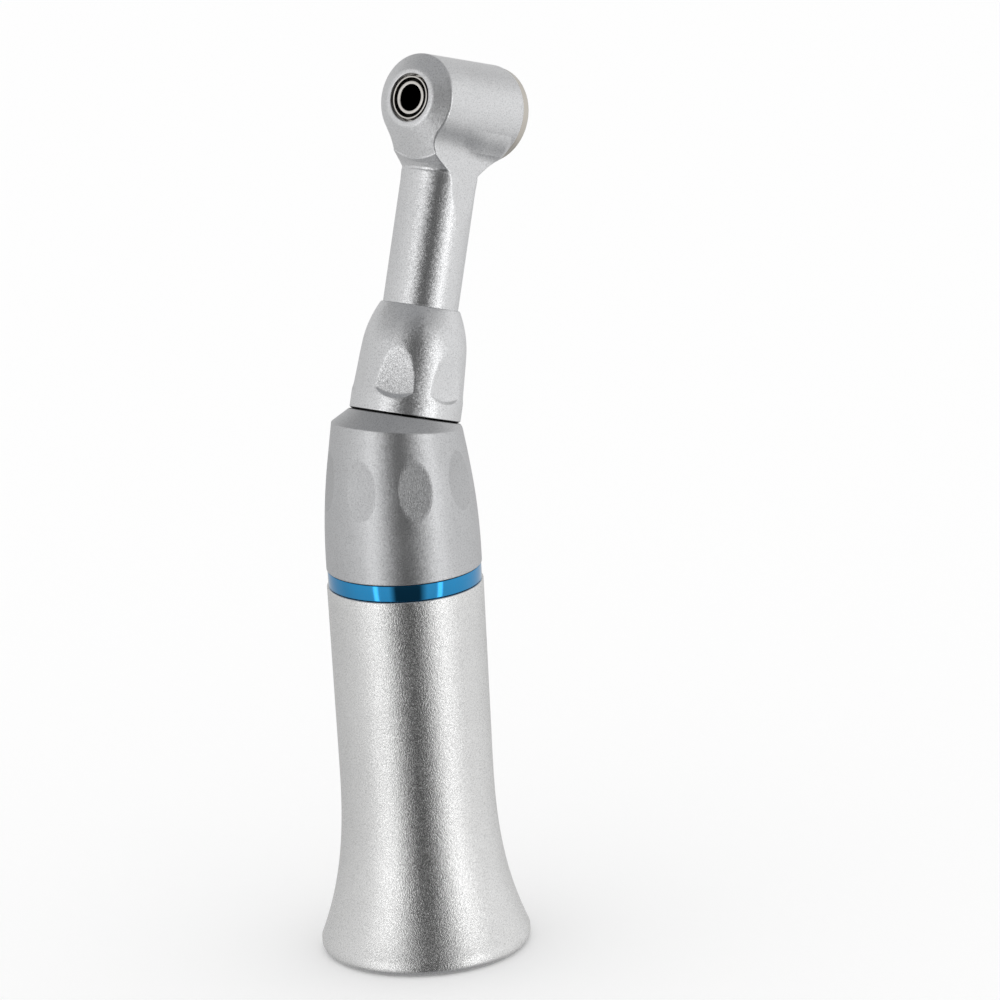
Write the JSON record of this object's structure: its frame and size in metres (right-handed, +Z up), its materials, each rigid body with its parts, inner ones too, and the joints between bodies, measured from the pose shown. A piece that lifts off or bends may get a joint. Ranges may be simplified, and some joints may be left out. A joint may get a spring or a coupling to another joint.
{
  "type": "contra angle dental handpiece",
  "caption": "Bent metal dental handpiece: a motor socket at the flared tail, a geared drive inside, a screw-on angled head and a push-button chuck for burs.",
  "frame": {"origin": "centre of the tail rim's end face, on the handle axis", "axes": "+Z up the handle axis towards the bend; the neck leans towards -X and the chuck faces +X; XZ is the plane of symmetry"},
  "size_m": [0.0275, 0.0198, 0.0841],
  "materials": {
    "blasted_aluminium": "coarse bead blast, clear satin",
    "satin_aluminium": "fine bead blast, satin",
    "blue_anodised": "polished, blue anodised",
    "polished_chrome": "polished",
    "nickel_brass": "nickel plated, turned",
    "bronze": "sintered bronze",
    "tool_steel": "ground and hardened",
    "bearing_steel": "ground and polished",
    "black_rubber": "smooth seal rubber"
  },
  "bodies": {
    "handle": {"tail_sleeve": "blasted_aluminium", "coupling_tube": "nickel_brass", "coupling_seal": "black_rubber", "colour_ring": "blue_anodised", "bearing_housing": "tool_steel", "bearing_retainer": "tool_steel", "grip_sleeve": "satin_aluminium", "thread_collar": "tool_steel", "drive_rear_outer_race": "bearing_steel", "drive_front_outer_race": "bearing_steel"},
    "drive_train": {"drive_dog": "tool_steel", "drive_shaft": "tool_steel", "drive_gear": "tool_steel", "drive_rear_inner_race": "bearing_steel", "drive_front_inner_race": "bearing_steel"},
    "drive_ball_cages": {"drive_rear_balls": "bearing_steel", "drive_front_balls": "bearing_steel"},
    "head_unit": {"head_housing": "satin_aluminium", "neck_rear_bush": "bronze", "neck_front_bush": "bronze", "head_cap": "polished_chrome", "chuck_front_outer_race": "bearing_steel", "chuck_rear_outer_race": "bearing_steel"},
    "lock_nut": {"lock_nut": "satin_aluminium"},
    "neck_drive": {"neck_shaft": "tool_steel", "neck_rear_gear": "tool_steel", "neck_pinion": "tool_steel"},
    "chuck": {"chuck_spindle": "bearing_steel", "chuck_collet": "bearing_steel", "chuck_gear": "tool_steel", "chuck_front_inner_race": "bearing_steel", "chuck_rear_inner_race": "bearing_steel"},
    "chuck_front_cage": {"chuck_front_balls": "bearing_steel"},
    "chuck_rear_cage": {"chuck_rear_balls": "bearing_steel"},
    "push_button": {"push_button": "polished_chrome", "button_spring": "tool_steel"}
  },
  "joints": [
    {"name": "drive_spin", "type": "hinge", "parent": "handle", "child": "drive_train", "pos_m": [0, 0, 0.03], "axis": [0, 0, 1], "continuous": true},
    {"name": "drive_cage_spin", "type": "hinge", "parent": "handle", "child": "drive_ball_cages", "pos_m": [0, 0, 0.03], "axis": [0, 0, 1], "continuous": true},
    {"name": "head_slide", "type": "slide", "parent": "handle", "child": "head_unit", "axis": [-0.309, 0, 0.9511], "range_m": [0, 0.0015]},
    {"name": "lock_nut_turn", "type": "hinge", "parent": "head_unit", "child": "lock_nut", "pos_m": [0, 0, 0.04704], "axis": [-0.309, 0, 0.9511], "range_deg": [0, 720]},
    {"name": "neck_shaft_spin", "type": "hinge", "parent": "head_unit", "child": "neck_drive", "pos_m": [0, 0, 0.04704], "axis": [-0.309, 0, 0.9511], "continuous": true},
    {"name": "chuck_spin", "type": "hinge", "parent": "head_unit", "child": "chuck", "pos_m": [-0.01025, 0, 0.07858], "axis": [0.9511, 0, 0.309], "continuous": true},
    {"name": "chuck_front_cage_spin", "type": "hinge", "parent": "head_unit", "child": "chuck_front_cage", "pos_m": [-0.01025, 0, 0.07858], "axis": [0.9511, 0, 0.309], "continuous": true},
    {"name": "chuck_rear_cage_spin", "type": "hinge", "parent": "head_unit", "child": "chuck_rear_cage", "pos_m": [-0.01025, 0, 0.07858], "axis": [0.9511, 0, 0.309], "continuous": true},
    {"name": "button_press", "type": "slide", "parent": "head_unit", "child": "push_button", "axis": [0.9511, 0, 0.309], "range_m": [0, 0.0006], "stiffness_N_per_m": 2000, "springref_m": -0.001}
  ],
  "couplings": [
    {"joint": "drive_cage_spin", "follows": "drive_spin", "ratio": 0.3775},
    {"joint": "neck_shaft_spin", "follows": "drive_spin", "ratio": 1},
    {"joint": "chuck_spin", "follows": "drive_spin", "ratio": -1},
    {"joint": "chuck_front_cage_spin", "follows": "drive_spin", "ratio": -0.4304},
    {"joint": "chuck_rear_cage_spin", "follows": "drive_spin", "ratio": -0.4125},
    {"joint": "lock_nut_turn", "follows": "head_slide", "rad_per_m": 8377.5}
  ]
}
